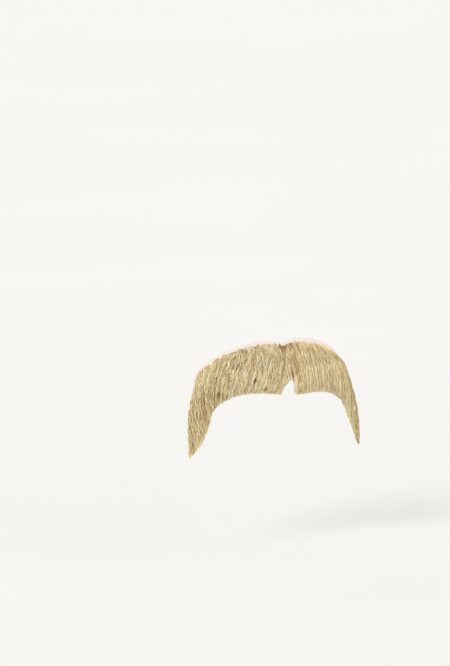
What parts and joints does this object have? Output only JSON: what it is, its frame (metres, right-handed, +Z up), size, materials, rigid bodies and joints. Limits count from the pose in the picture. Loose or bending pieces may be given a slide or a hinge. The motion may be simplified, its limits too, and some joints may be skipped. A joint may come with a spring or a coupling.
{
  "type": "fake moustache",
  "caption": "Drooping false moustache of hair on a curved lace net, parted in the middle, with a trimmed lip edge and long pointed tails.",
  "frame": {"origin": "back of the net at the middle of its flat stretch, where it sits on the upper lip", "axes": "+X to the wearer's left, -Y the way the wearer looks, +Z up"},
  "size_m": [0.106, 0.024, 0.0656],
  "materials": {
    "lace_net": "fine flesh-coloured net",
    "blond_hair": "wavy ash-blond hair, soft sheen"
  },
  "bodies": {
    "root": {"net_foundation": "lace_net", "left_lip_hair": "blond_hair", "right_lip_hair": "blond_hair", "left_tail_hair": "blond_hair", "right_tail_hair": "blond_hair"}
  },
  "joints": []
}
